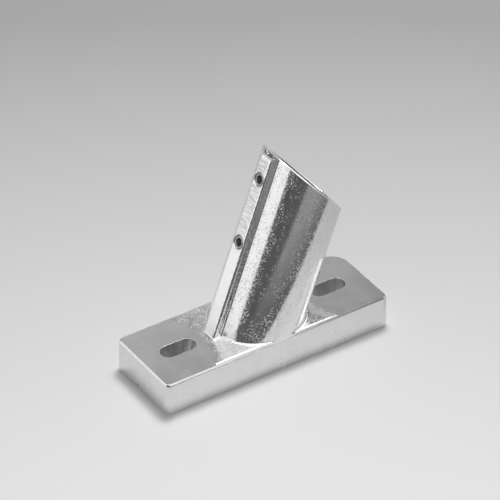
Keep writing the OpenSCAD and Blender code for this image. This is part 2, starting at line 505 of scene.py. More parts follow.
def grid_patch(
    points: np.ndarray, zone: Zone | np.ndarray, around: bool = False, looped: bool = False
) -> Patch:
    """Joins a rows x columns x 3 array of points with quads.

    Args:
        points: the grid of points. Point (i, j) is number i * columns + j.
        zone: one zone for all, or a number for each quad, rows of quads first.
        around: whether the last column joins the first.
        looped: whether the last row joins the first.

    Returns:
        The patch.
    """
    rows, columns = points.shape[:2]
    i = np.arange(rows if looped else rows - 1)[:, None]
    j = np.arange(columns if around else columns - 1)[None, :]
    below, above = i * columns, (i + 1) % rows * columns
    right = (j + 1) % columns
    quads = np.stack([below + j, below + right, above + right, above + j], axis=-1).reshape(-1, 4)
    zones = np.full(len(quads), zone.value) if isinstance(zone, Zone) else zone.reshape(-1)
    return Patch(points.reshape(-1, 3), quads.tolist(), zones)


def flat_patch(loops: list[np.ndarray], zone: Zone, pinch: float = 1e-8) -> Patch:
    """Fills a flat outline that may have holes.

    The triangles are found on p (1 + pinch p.p), where straight edges bow inwards by less than a hundredth
    of a millimetre, so that none of them lies along an edge.

    Args:
        loops: the outer loop, then each hole.
        zone: how the face was made.
        pinch: how much the edges bow.

    Returns:
        The patch, in triangles.
    """
    pinched = [loop * (1 + pinch * (loop ** 2).sum(-1, keepdims=True)) for loop in loops]
    triangles = tessellate_polygon([loop.tolist() for loop in pinched])
    return Patch(np.vstack(loops), list(triangles), np.full(len(triangles), zone.value))


def plug(name: str, rows: np.ndarray, zone: Zone, finishes: list[Material]) -> Object:
    """A closed cutter of rows of points, with two flat ends. What it cuts takes its zone."""
    ends = [flat_patch([rows[k]], zone) for k in (0, -1)]
    return make_piece(name, [grid_patch(rows, zone, around=True), *ends], finishes)


def arc(middle: Pair | np.ndarray, radius: float, turn: np.ndarray, out: int = 1) -> np.ndarray:
    """Arc of an outline, as rows of point and outward direction. A hollow's directions have out = -1."""
    way = np.stack([np.cos(turn), np.sin(turn)], axis=1)
    return np.hstack([np.array(middle) + radius * way, out * way])


def straight(start: Pair, stop: Pair, share: np.ndarray) -> np.ndarray:
    """Straight run of an outline at shares of its length, with the outward direction on its right."""
    start, step = np.array(start), np.array(stop) - np.array(start)
    way = np.array([step[1], -step[0]]) / np.linalg.norm(step)
    return np.hstack([start + step * share[:, None], np.tile(way, (len(share), 1))])


def raised(flat: np.ndarray, heights: np.ndarray) -> np.ndarray:
    """Rows of level points, each row at its own height."""
    height = np.broadcast_to(heights[:, None, None], flat.shape[:2] + (1,))
    return np.concatenate([flat, height], axis=-1)


def smooth(share: np.ndarray) -> np.ndarray:
    """The smooth step u^2 (3 - 2u) of a share held to 0..1."""
    share = np.clip(share, 0, 1)
    return share * share * (3 - 2 * share)


def sweep(first: np.ndarray, last: np.ndarray, steps: int) -> np.ndarray:
    """Unit directions turning evenly from one row of directions to another.

    d(w) = (first sin((1 - w) a) + last sin(w a)) / sin(a), where a is the angle between them.

    Args:
        first: columns x 3 directions at w = 0.
        last: the same, or one direction, at w = 1.
        steps: how many steps w takes.

    Returns:
        (steps + 1) x columns x 3 directions.
    """
    last = np.broadcast_to(last, first.shape)
    share = np.linspace(0, 1, steps + 1)[:, None, None]
    angle = np.arccos(np.clip((first * last).sum(-1), -1, 1))[None, :, None]
    return (first * np.sin((1 - share) * angle) + last * np.sin(share * angle)) / np.sin(angle)


def between(first: np.ndarray, last: np.ndarray, steps: int) -> np.ndarray:
    """The rows that lie evenly between two rows of points, without either of them."""
    share = np.linspace(0, 1, steps + 1)[1:-1, None, None]
    return first + (last - first) * share


def turned(
    along: np.ndarray,
    radius: np.ndarray,
    origin: np.ndarray,
    axis: np.ndarray,
    first: np.ndarray,
    count: int,
) -> np.ndarray:
    """Rows of points round an axis: p = origin + axis u + r(u) (first cos(t) + second sin(t)).

    Args:
        along: each row's distance along the axis.
        radius: each row's radius, or rows x count radii.
        origin: a point of the axis.
        axis: the axis's unit direction.
        first: the direction at which t is 0.
        count: columns round the axis.

    Returns:
        rows x count x 3 points.
    """
    turn = np.linspace(0, 2 * math.pi, count, endpoint=False)
    second = np.cross(axis, first)
    way = np.cos(turn)[:, None] * first + np.sin(turn)[:, None] * second
    radius = np.broadcast_to(radius if radius.ndim == 2 else radius[:, None], (len(along), count))
    return origin + along[:, None, None] * axis + radius[..., None] * way


def put_in_scene(name: str, data: bpy.types.ID) -> Object:
    """Adds an object of a mesh, light or camera to the scene."""
    made = bpy.data.objects.new(name, data)
    bpy.context.scene.collection.objects.link(made)
    return made


def make_piece(name: str, patches: list[Patch], finishes: list[Material]) -> Object:
    """Joins patches into one closed mesh with outward faces.

    Args:
        name: the piece's name.
        patches: its surface, in millimetres.
        finishes: the materials that the zones number.

    Returns:
        The piece's object, with its place in its mesh.
    """
    starts = np.cumsum([0] + [len(patch.points) for patch in patches])
    faces = [
        tuple(k + start for k in face) for patch, start in zip(patches, starts) for face in patch.faces
    ]
    mesh = bpy.data.meshes.new(name)
    mesh.from_pydata(np.vstack([patch.points for patch in patches]) * MM, [], faces)
    mesh.polygons.foreach_set("material_index", np.concatenate([patch.zones for patch in patches]))
    for finish in finishes:
        mesh.materials.append(finish)
    cells = bmesh.new()
    cells.from_mesh(mesh)
    bmesh.ops.remove_doubles(cells, verts=cells.verts, dist=MERGE_GAP * MM)
    bmesh.ops.dissolve_degenerate(cells, edges=cells.edges, dist=THIN_EDGE * MM)
    bmesh.ops.recalc_face_normals(cells, faces=cells.faces)
    cells.to_mesh(mesh)
    cells.free()
    return put_in_scene(name, mesh)


def shade(made: Object, sharp: float) -> None:
    """Shades a piece smooth, apart from edges sharper than an angle, with flat faces kept flat.

    Args:
        made: the piece.
        sharp: the angle in degrees.
    """
    mesh = made.data
    mesh.polygons.foreach_set("use_smooth", np.ones(len(mesh.polygons), bool))
    mesh.set_sharp_from_angle(angle=math.radians(sharp))
    flatten = made.modifiers.new("flat_faces", "WEIGHTED_NORMAL")
    flatten.keep_sharp = True
    flatten.weight = BY_AREA


def cut(made: Object, cutters: list[Object]) -> None:
    """Cuts holes through a piece for good, and removes the cutters.

    Args:
        made: the piece to cut.
        cutters: closed pieces with the same list of materials.
    """
    for cutter in cutters:
        hole = made.modifiers.new("hole", "BOOLEAN")
        hole.operation = "DIFFERENCE"
        hole.solver = "EXACT"
        hole.object = cutter
    graph = bpy.context.evaluated_depsgraph_get()
    finished = bpy.data.meshes.new_from_object(made.evaluated_get(graph))
    made.modifiers.clear()
    made.data = finished
    cells = bmesh.new()
    cells.from_mesh(finished)
    bmesh.ops.dissolve_degenerate(cells, edges=cells.edges, dist=THIN_EDGE * MM)
    cells.to_mesh(finished)
    cells.free()
    for cutter in cutters:
        bpy.data.objects.remove(cutter)


@dataclass
class SocketSkin:
    """Shown skin of the leaning socket, as one ring of surface from its foot over the rim to its bore.

    Every column of the grid is one point of the outline square to the axis. A rounding is a ball of
    radius r rolled against a plane: its centre is c = p - r n + a s, where p is the outline's point, n its
    outward direction, a the axis and s the reach at which c lies r inside the plane, and the surface is
    c + r d(w), with d turning from n to the plane's normal.
    """

    form: SocketForm
    plate: PlateForm
    finishes: list[Material]
    arc_columns: int = 120
    bend_columns: int = 7
    wall_columns: int = 5
    face_columns: int = 6
    fillet_rows: int = 14
    wall_rows: int = 26
    edge_rows: int = 10
    rim_rows: int = 4
    bore_rows: int = 16
    hole_columns: int = 64
    side_blend: float = 0.9
    side_room: float = 12.0
    pad_fillet_to: float = 14.0
    pad_fillet_span: float = 14.0
    pad_turn_from: float = 0.2
    pad_turn_span: float = 0.75
    tuck_down: float = 0.8
    tuck_in: float = 0.1
    hidden_height: float = 5.0
    trim_down: float = 0.6
    trim_up: float = 6.0
    low_gap: float = 0.06
    top_gap: float = 0.03
    spare: float = 0.01
    least_slant: float = 0.001
    least_facing: float = 0.999
    hidden_rows: int = 2
    hole_depth: float = 3.0
    hole_clear: float = 2.0
    sharp: float = 35.0

    def outline(self) -> tuple[np.ndarray, np.ndarray]:
        """The outline square to the axis, starting on the side that the socket leans to.

        Half of it is a big arc, the hollow at the pad's root, the pad's wall, its rounded edge and its
        face. The other half is its mirror image.

        Returns:
            Points and outward directions, each columns x 2, along `under` and across.
        """
        size = self.form
        half = size.pad_width / 2
        rise = half + size.pad_root
        hollow = np.array([-math.sqrt((size.radius + size.pad_root) ** 2 - rise ** 2), rise])
        edge = np.array([size.pad_edge - size.pad_face, half - size.pad_edge])
        meet = math.atan2(hollow[1], hollow[0])
        hollow_turn = np.linspace(meet - math.pi, -math.pi / 2, self.bend_columns)
        wall_share = np.linspace(0, 1, self.wall_columns)[1:-1]
        face_share = np.linspace(0, 1, self.face_columns)[1:]
        side = np.vstack([
            arc(np.zeros(2), size.radius, np.linspace(0, meet, self.arc_columns)),
            arc(hollow, size.pad_root, hollow_turn, -1)[1:],
            straight((hollow[0], half), (edge[0], half), wall_share),
            arc(edge, size.pad_edge, np.linspace(math.pi / 2, math.pi, self.bend_columns)),
            straight((-size.pad_face, edge[1]), (-size.pad_face, 0.0), face_share),
        ])
        mirrored = side[-2:0:-1] * np.array([1, -1, 1, -1])
        whole = np.vstack([side, mirrored])
        return whole[:, :2], whole[:, 2:]

    def lift(self, flat: np.ndarray) -> np.ndarray:
        """Turns points or directions square to the axis into three dimensions."""
        return flat[..., :1] * self.form.under + flat[..., 1:] * ACROSS

    def on_plane(
        self, points: np.ndarray, origin: np.ndarray, normal: np.ndarray, inside: float | np.ndarray = 0.0
    ) -> np.ndarray:
        """Slides points along the axis until they lie a distance inside a plane.

        s = -((p - o) . m + inside) / (a . m)

        Args:
            points: the points to slide.
            origin: a point of the plane.
            normal: the plane's outward direction.
            inside: how far inside they end.

        Returns:
            The moved points.
        """
        short = ((points - origin) @ normal + inside) / (self.form.axis @ normal)
        return points - short[..., None] * self.form.axis

    def seat_loop(self, height: float) -> np.ndarray:
        """Loop inside the socket's wall at a height, where the socket and the plate meet unseen."""
        points, _ = self.outline()
        way = points / np.linalg.norm(points, axis=1, keepdims=True)
        return self.on_plane(FOOT + self.lift(way * self.form.seat_radius), height * WORLD_UP, WORLD_UP)

    def fillet(self, wall: np.ndarray, out: np.ndarray, points: np.ndarray) -> np.ndarray:
        """The foot fillet, kept within the plate's sides.

        The fillet's point is split into the wall's point under it and its distance d from the wall. At
        the plate's side, d is kept under the room e that is left there by the soft minimum
        (d + e - sqrt((d - e)^2 + k^2)) / 2, so the fillet fades out round the plate's edge.

        Args:
            wall: each column's point of the wall.
            out: each column's outward direction.
            points: the outline's points, for the angle from the pad.

        Returns:
            Rows of points from the plate's top up to the wall.
        """
        size = self.form
        from_pad = np.degrees(np.arctan2(abs(points[:, 1]), -points[:, 0])) - self.pad_fillet_to
        grow = smooth(from_pad / self.pad_fillet_span)
        radius = size.pad_fillet + (size.foot_fillet - size.pad_fillet) * grow
        centre = self.on_plane(wall + out * radius[:, None], self.plate.rough_top * WORLD_UP, WORLD_UP)
        centre = centre + size.axis * (radius / size.axis[2])[:, None]
        ways = sweep(-out, -WORLD_UP, self.fillet_rows)[::-1]
        ball = centre + radius[:, None] * ways
        distance = ((ball - wall) * out).sum(-1)
        foot = ball - distance[..., None] * out
        sideways = np.maximum(abs(out[:, 1]), self.least_slant)
        room = (self.plate.top_half_width - abs(foot[..., 1])) / sideways
        soft = (distance + room - np.sqrt((distance - room) ** 2 + self.side_blend ** 2)) / 2
        kept = np.clip(np.where(room > self.side_room, distance, soft), 0.0, None)
        return foot + kept[..., None] * out

    def rows(self) -> tuple[np.ndarray, np.ndarray]:
        """Works out the whole ring of surface.

        Returns:
            Its rows of points, and each row's zone.
        """
        size = self.form
        points, ways = self.outline()
        wall, out = FOOT + self.lift(points), self.lift(ways)
        outward = self.lift(points / np.linalg.norm(points, axis=1, keepdims=True))
        rim_middle, rim = FOOT + size.axis * size.reach, size.rim_normal

        fillet = self.fillet(wall, out, points)
        tuck = self.tuck_in * (fillet[0] - self.on_plane(wall, fillet[0], WORLD_UP))
        hidden_top = fillet[0] - size.axis * self.tuck_down - tuck
        hidden_foot = self.on_plane(wall, self.hidden_height * WORLD_UP, WORLD_UP)

        on_face = abs(points[:, 1]) < size.pad_width / 2 + self.spare
        on_pad = np.clip((-ways[:, 0] - self.pad_turn_from) / self.pad_turn_span, 0, 1) * on_face
        edge_round = (size.rim_round + (size.pad_top_round - size.rim_round) * on_pad)[:, None]
        edge = self.on_plane(wall - out * edge_round, rim_middle, rim, edge_round[:, 0])
        edge = edge + edge_round * sweep(out, rim, self.edge_rows)
        middle = FOOT + outward * (size.bore + size.mouth_round)
        mouth = self.on_plane(middle, rim_middle, rim, size.mouth_round)
        mouth = mouth + size.mouth_round * sweep(-outward, rim, self.rim_rows)[::-1]
        heel = self.on_plane(middle, np.zeros(3), -WORLD_UP, size.mouth_round)
        heel = heel + size.mouth_round * sweep(-outward, -WORLD_UP, self.rim_rows)

        bands = [
            (Zone.CAST, np.stack([hidden_foot, hidden_top])),
            (Zone.CAST, fillet),
            (Zone.CAST, between(fillet[-1], edge[0], self.wall_rows)),
            (Zone.CAST, edge),
            (Zone.GROUND_EDGE, between(edge[-1], mouth[0], self.rim_rows)),
            (Zone.GROUND_EDGE, mouth),
            (Zone.BORED, between(mouth[-1], heel[0], self.bore_rows)),
            (Zone.BORED, heel),
            (Zone.UNDERSIDE, self.seat_loop(0.0)[None]),
        ]
        zones = np.concatenate([np.full(len(rows), zone.value) for zone, rows in bands])
        return self.trim_foot(self.round_top(np.vstack([rows for _, rows in bands]))), zones

    def trim_foot(self, points: np.ndarray) -> np.ndarray:
        """Holds the socket's wall inside the plate's sloping sides, up to a little above the plate.

        Args:
            points: rows of points.

        Returns:
            The same, with |y| held to a limit that widens from the plate's side to the socket's radius.
        """
        plate, half = self.plate, self.plate.width / 2
        low = plate.rough_top - plate.top_round - self.trim_down
        heights = [0.0, low, plate.rough_top, plate.rough_top + self.trim_up]
        side = [half - self.low_gap, half - low * plate.draft - self.low_gap]
        top = [plate.top_half_width - self.top_gap, self.form.radius + self.spare]
        x, y, z = np.moveaxis(points, -1, 0)
        limit = np.interp(z, heights, side + top)
        return np.stack([x, np.where(z > heights[-1], y, np.clip(y, -limit, limit)), z], axis=-1)

    def round_top(self, points: np.ndarray) -> np.ndarray:
        """Draws what stands outside the pad's rounded top edge in to it.

        The rounding is a cylinder of radius r across the pad, round (p, s) = (c, d). A point beyond both of
        its tangent planes moves to (c, d) + r u, where u is its direction from there.

        Args:
            points: rows of points.

        Returns:
            The same, none of them outside the rounding.
        """
        size = self.form
        radius, slant = size.pad_top_round, size.rim_slant
        middle_p = radius - size.pad_face
        middle_s = size.reach - (radius + middle_p * math.sin(slant)) / math.cos(slant)
        p, s = (points - FOOT) @ size.under - middle_p, (points - FOOT) @ size.axis - middle_s
        away = np.hypot(p, s)
        outside = (s > 0) & (s * math.sin(slant) > p * math.cos(slant)) & (away > radius)
        pull = np.where(outside, radius / np.maximum(away, radius) - 1, 0)
        return points + (pull * p)[..., None] * size.under + (pull * s)[..., None] * size.axis

    def hole_cutter(self, reach: float) -> Object:
        """Makes the plug that cuts one screw hole with its broken edge.

        Args:
            reach: the hole's reach.

        Returns:
            The plug.
        """
        size, clear = self.form, self.hole_clear
        face, hole = size.pad_face, size.screw_hole
        depth = np.array([size.bore - self.hole_depth, face - size.hole_break, face + clear])
        radius = np.array([hole, hole, hole + size.hole_break + clear])
        rows = turned(depth, radius, FOOT + size.axis * reach, -size.under, size.axis, self.hole_columns)
        return plug("hole_cutter", rows, Zone.GROUND_EDGE, self.finishes)

    def build(self) -> Object:
        """Makes the socket's skin with its two screw holes.

        Returns:
            The skin.
        """
        rows, zones = self.rows()
        _, ways = self.outline()
        quads = np.repeat(np.roll(zones, -1)[:, None], rows.shape[1], axis=1)
        facing = -ways[:, 0] > self.least_facing
        wall_from = self.hidden_rows + self.fillet_rows
        walls = np.arange(wall_from, wall_from + self.wall_rows)
        quads[np.ix_(walls, np.flatnonzero(facing & np.roll(facing, -1)))] = Zone.MILLED_PAD.value
        made = make_piece("socket_skin", [grid_patch(rows, quads, around=True, looped=True)], self.finishes)
        cut(made, [self.hole_cutter(reach) for reach in self.form.screw_reaches])
        shade(made, self.sharp)
        return made


@dataclass
class PlateSkin:
    """Shown skin of the base plate: sides, roundings, rough middle, machined ends and slots.

    The side's profile is a height z and an inset i from the foot's outline: a foot rounding, the sloping
    side i = z tan(draft), and the top rounding. A path point b with outward direction d carries it to
    b - i d. Each machined end stops on the circle x = c - sqrt(R^2 - y^2).
    """

    form: PlateForm
    seat: SocketSkin
    finishes: list[Material]
    foot_rows: int = 5
    low_rows: int = 6
    high_rows: int = 8
    lip_columns: int = 60
    corner_columns: int = 12
    blunt_columns: int = 28
    cap_columns: int = 25
    slot_rows: int = 4
    notch_clear: float = 3.0
    notch_below: float = 1.0
    sharp: float = 35.0

    def profile(self) -> np.ndarray:
        """Works out the side's profile.

        Returns:
            Rows of height and inset, from the underside to the rough middle's top.
        """
        size = self.form
        turn = np.linspace(0, math.pi / 2, self.foot_rows)
        foot_z = size.foot_round * (1 - np.cos(turn))
        foot = np.stack([foot_z, size.foot_round * (1 - np.sin(turn)) + foot_z * size.draft], axis=1)
        centre_z = size.rough_top - size.top_round
        centre_in = centre_z * size.draft + size.top_round * math.hypot(1, size.draft)
        faced = math.asin((size.thickness - centre_z) / size.top_round)
        low = np.linspace(math.atan(size.draft), faced, self.low_rows)
        turn = np.concatenate([low, np.linspace(faced, math.pi / 2, self.high_rows)[1:]])
        z, inset = centre_z + size.top_round * np.sin(turn), centre_in - size.top_round * np.cos(turn)
        return np.vstack([foot, np.stack([z, inset], axis=1)])

    @property
    def faced_rows(self) -> int:
        """How many of the profile's rows a machined end keeps."""
        return self.foot_rows + self.low_rows

    def lip_x(self, sign: int, y: np.ndarray, z: np.ndarray) -> np.ndarray:
        """Where the rough middle stops: the facing circle, drawn in by the lip's own rounding.

        The lip is a clean step in front at the left end. Elsewhere it fades into a slope of length
        lip_fade, by the smooth step of a share that grows with y.

        Args:
            sign: 1 for the right end, -1 for the left end.
            y: places across the plate.
            z: heights.

        Returns:
            The places along the plate.
        """
        size = self.form
        circle = size.facing_centre - np.sqrt(size.facing_radius ** 2 - y ** 2)
        above = np.clip(z - (size.rough_top - size.lip_round), 0, size.lip_round)
        step = circle - size.lip_round + np.sqrt(size.lip_round ** 2 - above ** 2)
        fade = smooth((y - size.lip_fade_from) / size.lip_fade_span) if sign < 0 else np.ones_like(y)
        rise = np.clip((z - size.thickness) / size.rough_rise, 0, 1)
        return sign * (step - fade * size.lip_fade * rise)

    @property
    def split(self) -> float:
        """Where the facing circle crosses the right end's sides."""
        return float(self.lip_x(1, np.array(self.form.width / 2), np.array(0.0)))

    def corner(self, across: int, radius: float, start: float) -> np.ndarray:
        """Quarter turn of the right end's outline from an angle in degrees, without its ends.

        Args:
            across: 1 for the corner at the back, -1 for the one in front.
            radius: its radius.
            start: the angle that it starts from.

        Returns:
            Rows of point and outward direction.
        """
        count = self.blunt_columns if radius == self.form.blunt_corner else self.corner_columns
        turn = math.radians(start) + np.linspace(0, math.pi / 2, count)[1:-1]
        middle = (self.form.length / 2 - radius, across * (self.form.width / 2 - radius))
        return arc(middle, radius, turn)

    def end(self, front: float, back: float) -> np.ndarray:
        """The foot's outline round the right end. Turned half round, or negated, it is the left end's.

        Args:
            front: radius of its corner in front.
            back: radius of its corner at the back.

        Returns:
            Rows of point and outward direction.
        """
        x, y, split = self.form.length / 2, self.form.width / 2, self.split
        return np.vstack([
            straight((split, -y), (x - front, -y), BOTH_ENDS),
            self.corner(-1, front, -90.0),
            straight((x, front - y), (x, y - back), BOTH_ENDS),
            self.corner(1, back, 0.0),
            straight((x - back, y), (split, y), BOTH_ENDS),
        ])

    def stretches(self) -> list[tuple[np.ndarray, bool]]:
        """The foot's outline, anticlockwise in four stretches, and whether each is machined."""
        split, y = self.split, self.form.width / 2
        front = straight((-split, -y), (split, -y), BOTH_ENDS)
        right = self.end(self.form.corner, self.form.blunt_corner)
        left = -self.end(self.form.corner, self.form.corner)
        return [(front, False), (right, True), (-front, False), (left, True)]

    def side(self, stretch: np.ndarray, faced: bool) -> np.ndarray:
        """Carries the profile along one stretch, whose ends follow the facing circles.

        Args:
            stretch: rows of point and outward direction.
            faced: whether the top is machined away there.

        Returns:
            rows x columns x 3 points.
        """
        profile = self.profile()[:self.faced_rows] if faced else self.profile()
        points = raised(stretch[:, :2] - profile[:, 1][:, None, None] * stretch[:, 2:], profile[:, 0])
        for column in (0, -1):
            sign = 1 if stretch[column, 0] > 0 else -1
            points[:, column, 0] = self.lip_x(sign, points[:, column, 1], points[:, column, 2])
        return points

    def lip(self, sign: int) -> np.ndarray:
        """The small step up from one machined end to the rough middle, front to back.

        Args:
            sign: 1 for the right end, -1 for the left end.

        Returns:
            rows x columns x 3 points.
        """
        profile = self.profile()[self.faced_rows - 1:]
        y = (self.form.width / 2 - profile[:, 1:]) * np.linspace(-1, 1, self.lip_columns)
        z = np.broadcast_to(profile[:, :1], y.shape)
        return np.stack([self.lip_x(sign, y, z), y, z], axis=-1)

    def slot(self, sign: int) -> np.ndarray:
        """Wall of one slot from the underside to the top, with its edges broken.

        A stadium: two half circles and two straight runs, moved out by the rounding's offset.

        Args:
            sign: 1 for the right slot, -1 for the left slot.

        Returns:
            rows x columns x 3 points.
        """
        size = self.form
        shift = (size.slot_length - size.slot_width) / 2
        turn = np.linspace(-math.pi / 2, math.pi / 2, self.cap_columns)
        cap = arc((shift, 0.0), size.slot_width / 2, turn)
        outline = np.vstack([cap, cap * -1])
        bend = np.linspace(0, math.pi / 2, self.slot_rows)
        low_z, low_out = size.slot_round * (1 - np.sin(bend)), size.slot_round * (1 - np.cos(bend))
        out = np.concatenate([low_out[::-1], low_out])
        flat = outline[:, :2] + out[:, None, None] * outline[:, 2:]
        flat = flat + np.array([sign * size.slot_spacing / 2, 0.0])
        return raised(flat, np.concatenate([low_z[::-1], size.thickness - low_z]))

    def notch_cutter(self) -> Object:
        """Makes the tapered plug that cuts the small notch in the left end's foot.

        Returns:
            The plug.
        """
        size, clear, half = self.form, self.notch_clear, self.form.notch_width / 2
        deep, narrow = size.notch_depth, size.notch_taper * half
        outline = np.array([(-clear, -half), (deep, -narrow), (deep, narrow), (-clear, half)])
        flat = outline + np.array([-size.length / 2, size.notch_place])
        rows = raised(np.stack([flat, flat]), np.array([-self.notch_below, size.notch_height]))
        return plug("notch_cutter", rows, Zone.CAST, self.finishes)

    def build(self) -> Object:
        """Makes the plate's skin.

        Returns:
            The skin.
        """
        front, right, back, left = sides = [self.side(*stretch) for stretch in self.stretches()]
        right_lip, left_lip = lips = [self.lip(sign) for sign in (1, -1)]
        right_slot, left_slot = slots = [self.slot(sign) for sign in (1, -1)]
        seat_low, seat_high = self.seat.seat_loop(0.0), self.seat.seat_loop(self.form.rough_top)
        foot_loop = np.vstack([rows[0][:-1] for rows in sides])
        middle_loop = np.vstack([front[-1], right_lip[-1][1:-1], back[-1], left_lip[-1][-2:0:-1]])
        right_loop = np.vstack([right[-1], right_lip[0][-2:0:-1]])
        left_loop = np.vstack([left[-1], left_lip[0][1:-1]])
        patches = [grid_patch(rows, Zone.PLATE_SIDE) for rows in sides]
        patches += [grid_patch(rows, Zone.ROUGH_TOP) for rows in lips]
        patches += [grid_patch(rows, Zone.CORED, around=True) for rows in slots]
        patches += [
            grid_patch(np.stack([seat_low, seat_high]), Zone.CAST, around=True),
            flat_patch([foot_loop, right_slot[0], left_slot[0], seat_low], Zone.UNDERSIDE),
            flat_patch([middle_loop, seat_high], Zone.ROUGH_TOP),
            flat_patch([right_loop, right_slot[-1]], Zone.MILLED_END),
            flat_patch([left_loop, left_slot[-1]], Zone.MILLED_END),
        ]
        made = make_piece("plate_skin", patches, self.finishes)
        cut(made, [self.notch_cutter()])
        shade(made, self.sharp)
        return made


@dataclass
class SetScrew:
    """A cup-point set screw with a hexagonal recess, made of rings round its own axis.

    The thread's radius is R - h (1 - cos(2 pi (u / pitch) - t)) / 2 at a distance u along the axis and an
    angle t round it. The recess's radius is that of a hexagon, (a / 2) / cos(t'), with t' measured from the
    middle of each flat.
    """

    socket: SocketForm
    node: str
    reach: float
    sink: float = 0.6
    setback: float = 0.3
    chamfer: float = 0.8
    pitch: float = 1.5
    thread_depth: float = 0.6
    thread_rows: int = 96
    columns: int = 96
    hex_across: float = 5.5
    hex_depth: float = 5.0
    hex_cone: float = 1.2
    mouth_break: float = 0.2
    cup_radius: float = 2.6
    cup_depth: float = 1.1
    sharp: float = 40.0

    def rings(self) -> np.ndarray:
        """Works out the screw's whole surface.

        Returns:
            Rows of points from the middle of the cup to the bottom of the recess.
        """
        body, count = self.socket.screw_radius, self.columns
        tip = self.socket.bore + self.setback
        top = self.socket.pad_face - self.sink
        turn = np.linspace(0, 2 * math.pi, count, endpoint=False)
        hexagon = (self.hex_across / 2) / np.cos((turn + math.pi / 6) % (math.pi / 3) - math.pi / 6)
        even = np.ones(count)
        along = np.linspace(tip + self.chamfer, top - self.chamfer, self.thread_rows)
        fade = np.clip(np.minimum(along - along[0], along[-1] - along) / (self.pitch / 2), 0, 1)[:, None]
        wave = (1 - np.cos(2 * math.pi * along[:, None] / self.pitch - turn)) / 2
        ends = [
            (tip + self.cup_depth, 0 * even),
            (tip, self.cup_radius * even),
            (tip, (body - self.chamfer) * even),
            (top, (body - self.chamfer) * even),
            (top, hexagon + self.mouth_break),
            (top - self.mouth_break, hexagon),
            (top - self.hex_depth, hexagon),
            (top - self.hex_depth - self.hex_cone, 0 * even),
        ]
        heights, widths = [height for height, _ in ends], np.array([width for _, width in ends])
        heights = np.concatenate([heights[:3], along, heights[3:]])
        widths = np.vstack([widths[:3], body - self.thread_depth * wave * fade, widths[3:]])
        origin = FOOT + self.socket.axis * self.reach
        return turned(heights, widths, origin, -self.socket.under, self.socket.axis, count)

    def build(self, finish: Material) -> Object:
        """Makes the screw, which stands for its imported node.

        Args:
            finish: its material.

        Returns:
            The screw.
        """
        surface = grid_patch(self.rings(), Zone.CAST, around=True)
        made = make_piece(self.node + "_threaded", [surface], [finish])
        shade(made, self.sharp)
        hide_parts(self.node)
        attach(made, "root")
        return made


@dataclass
class Casting:
    """The casting's shown skin, in two pieces that meet unseen inside the metal."""

    plate: PlateForm
    socket: SocketForm
    node: str = "flange_casting"

    def finishes(self) -> list[Material]:
        """Makes the materials.

        Returns:
            One for each zone, in their order.
        """
        kinds = {
            Zone.CAST: CastSkin(),
            Zone.MILLED_END: FacedEnd(),
            Zone.MILLED_PAD: MilledPad(),
            Zone.GROUND_EDGE: MilledFlat.drawn((1.0, 0.2, 1.0), tone=0.85, roughness=0.3),
            Zone.BORED: MilledFlat.drawn((1.0, 1.0, 1.0), TO_UPRIGHT, tone=0.6, roughness=0.35),
            Zone.CORED: MilledFlat.drawn(
                (1.0, 1.0, 0.05), depth=0.03, tone=0.68, roughness=0.38, tone_drift=(-0.14, 0.14)
            ),
            Zone.UNDERSIDE: MilledFlat.drawn((0.1, 1.0, 1.0), tone=0.6, roughness=0.4),
            Zone.PLATE_SIDE: PlateSide(),
            Zone.ROUGH_TOP: CastSkin(
                tone=0.76,
                roughness=0.22,
                fleck_darkens=0.3,
                peel=Grain(1.6, 2.0, 0.6, 0.03),
                fleck=Grain(1.1, 2.0, 0.6, 0.03),
                streak=Grain(4.0, 1.0, stretch=(1.0, 1.0, 0.3)),
            ),
        }
        return [kinds[zone].material(zone.name.lower()) for zone in Zone]

    def build(self) -> list[Object]:
        """Makes both skins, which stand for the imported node.

        Returns:
            The socket's skin and the plate's.
        """
        finishes = self.finishes()
        socket = SocketSkin(self.socket, self.plate, finishes)
        made = [socket.build(), PlateSkin(self.plate, socket, finishes).build()]
        for skin in made:
            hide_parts(self.node)
            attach(skin, "root")
        return made


@dataclass(frozen=True)
class Ramp:
    """Brightness that changes evenly along a direction, from a start to a stop and not beyond them."""

    way: Triple
    start: float
    stop: float
    first: float
    last: float

    def tone(self, shader: Shader) -> Value:
        """The brightness at each point of the sheet."""
        return shader.remap(shader.along(self.way), self.start, self.stop, self.first, self.last)


def level(height: float, *corners: Pair) -> list[Triple]:
    """Corners of a level sheet."""
    return [(x, y, height) for x, y in corners]


def upright(low: float, high: float, start: Pair, stop: Pair) -> list[Triple]:
    """Corners of an upright sheet between two heights, over the line between two points of the floor."""
    return [(*start, low), (*stop, low), (*stop, high), (*start, high)]


def sheet(name: str, corners: list[Triple], finish: Material) -> Object:
    """Adds a flat sheet, which is part of the studio.

    Args:
        name: its name.
        corners: its corners in order, in metres.
        finish: its material.

    Returns:
        The sheet.
    """
    mesh = bpy.data.meshes.new(name)
    mesh.from_pydata(corners, [], [tuple(range(len(corners)))])
    mesh.materials.append(finish)
    made = put_in_scene(name, mesh)
    return made


